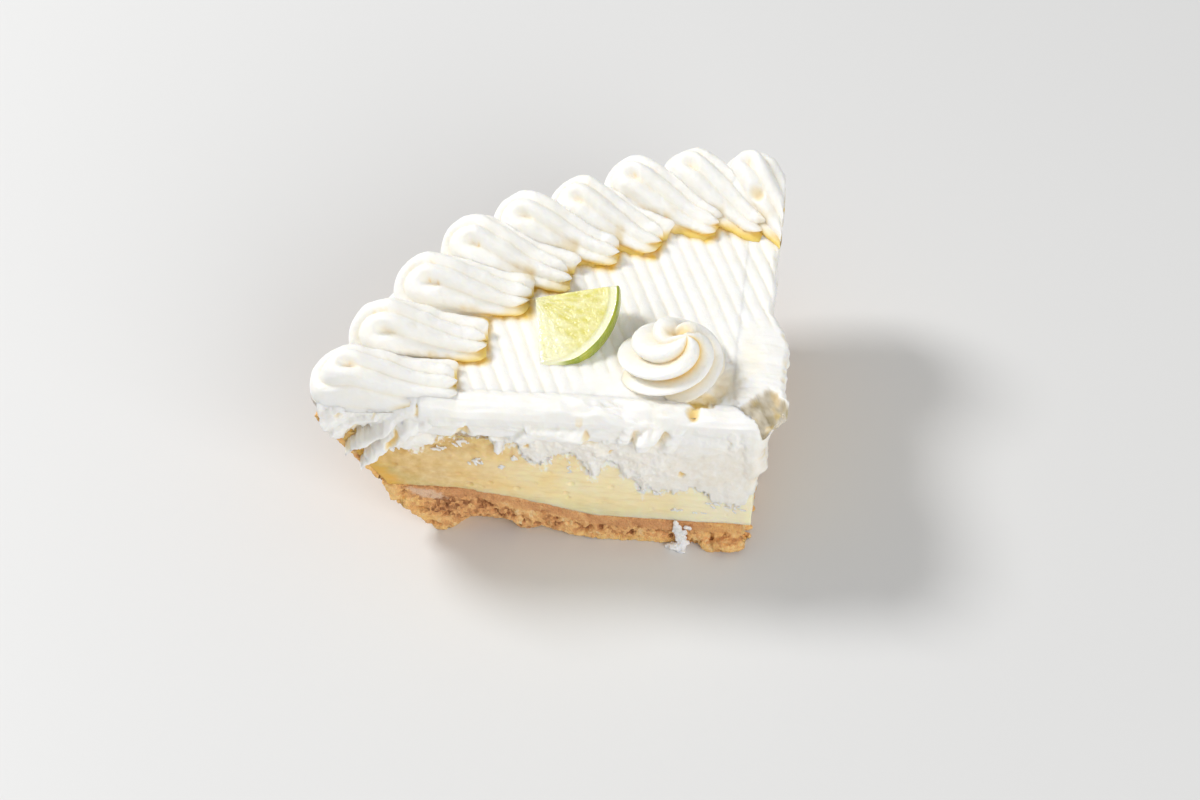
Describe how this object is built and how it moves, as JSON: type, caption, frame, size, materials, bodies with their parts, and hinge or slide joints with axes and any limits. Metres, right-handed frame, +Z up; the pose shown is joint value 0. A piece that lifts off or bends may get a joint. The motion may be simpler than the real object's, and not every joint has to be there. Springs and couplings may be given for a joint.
{
  "type": "key lime pie slice",
  "caption": "Slice of key lime pie as cut: crumb crust, baked lime custard, a combed layer of whipped cream, piped shells along the rim, a rosette and a slice of lime.",
  "frame": {"origin": "on the base plane, under the middle of the slice's bounding box", "axes": "+Z up from the base; +X along the front cut towards the slice's tip; +Y away from the front cut towards the rim"},
  "size_m": [0.118, 0.0988, 0.0605],
  "materials": {
    "crust": "baked crumb, rough and matt",
    "custard": "smooth baked custard with a soft sheen",
    "cream": "whipped cream, soft and matt",
    "lime": "wet lime flesh with a glossy green rind"
  },
  "bodies": {
    "root": {"crust": "crust", "filling": "custard", "cream_layer": "cream", "shell_1": "cream", "shell_2": "cream", "shell_3": "cream", "shell_4": "cream", "shell_5": "cream", "shell_6": "cream", "shell_7": "cream", "shell_8": "cream", "shell_9": "cream", "rosette": "cream", "lime_slice": "lime"}
  },
  "joints": []
}
